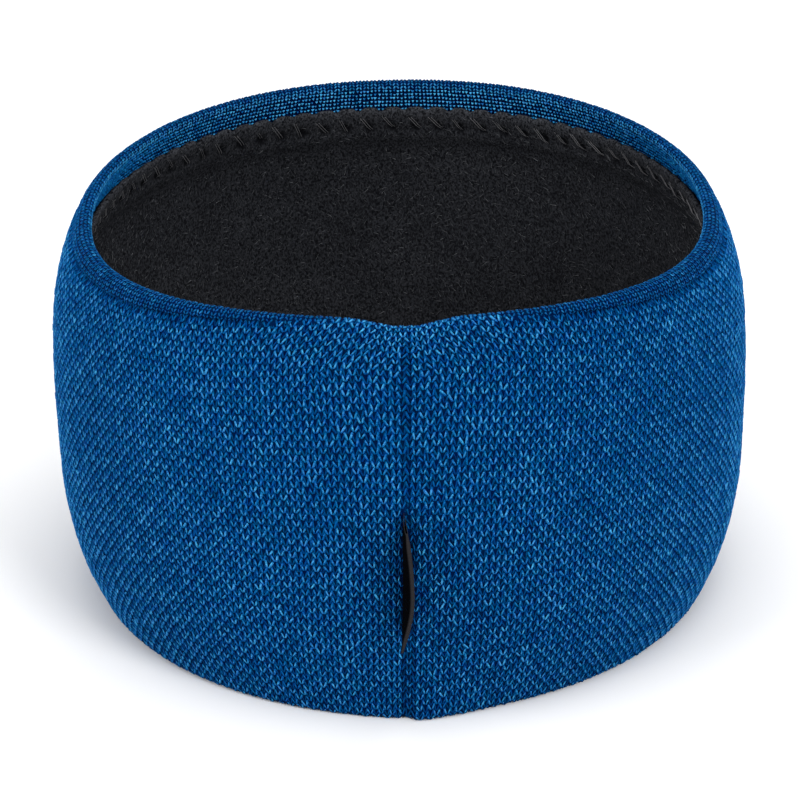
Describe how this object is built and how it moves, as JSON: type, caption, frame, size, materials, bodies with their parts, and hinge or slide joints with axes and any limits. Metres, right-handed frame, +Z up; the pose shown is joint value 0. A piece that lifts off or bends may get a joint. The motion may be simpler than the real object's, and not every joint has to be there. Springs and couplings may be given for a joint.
{
  "type": "ear warmer headband",
  "caption": "Knitted ear warmer headband with a fleece lining, turned-in edges and a folded blank label in its back seam.",
  "frame": {"origin": "middle of the footprint, on the surface that the lower edge stands on", "axes": "+Z up through the head opening, +Y towards the forehead, -Y towards the back seam, +X to the right when the back seam is seen"},
  "size_m": [0.1702, 0.1996, 0.0992],
  "materials": {
    "knit": "two-tone bird's eye knit, mid blue over dark blue, matt",
    "fleece": "brushed black fleece with a short pile, matt",
    "label": "woven black tape, slightly glossy"
  },
  "bodies": {
    "root": {"knit_band": "knit", "fleece_lining": "fleece", "seam_label": "label"}
  },
  "joints": []
}
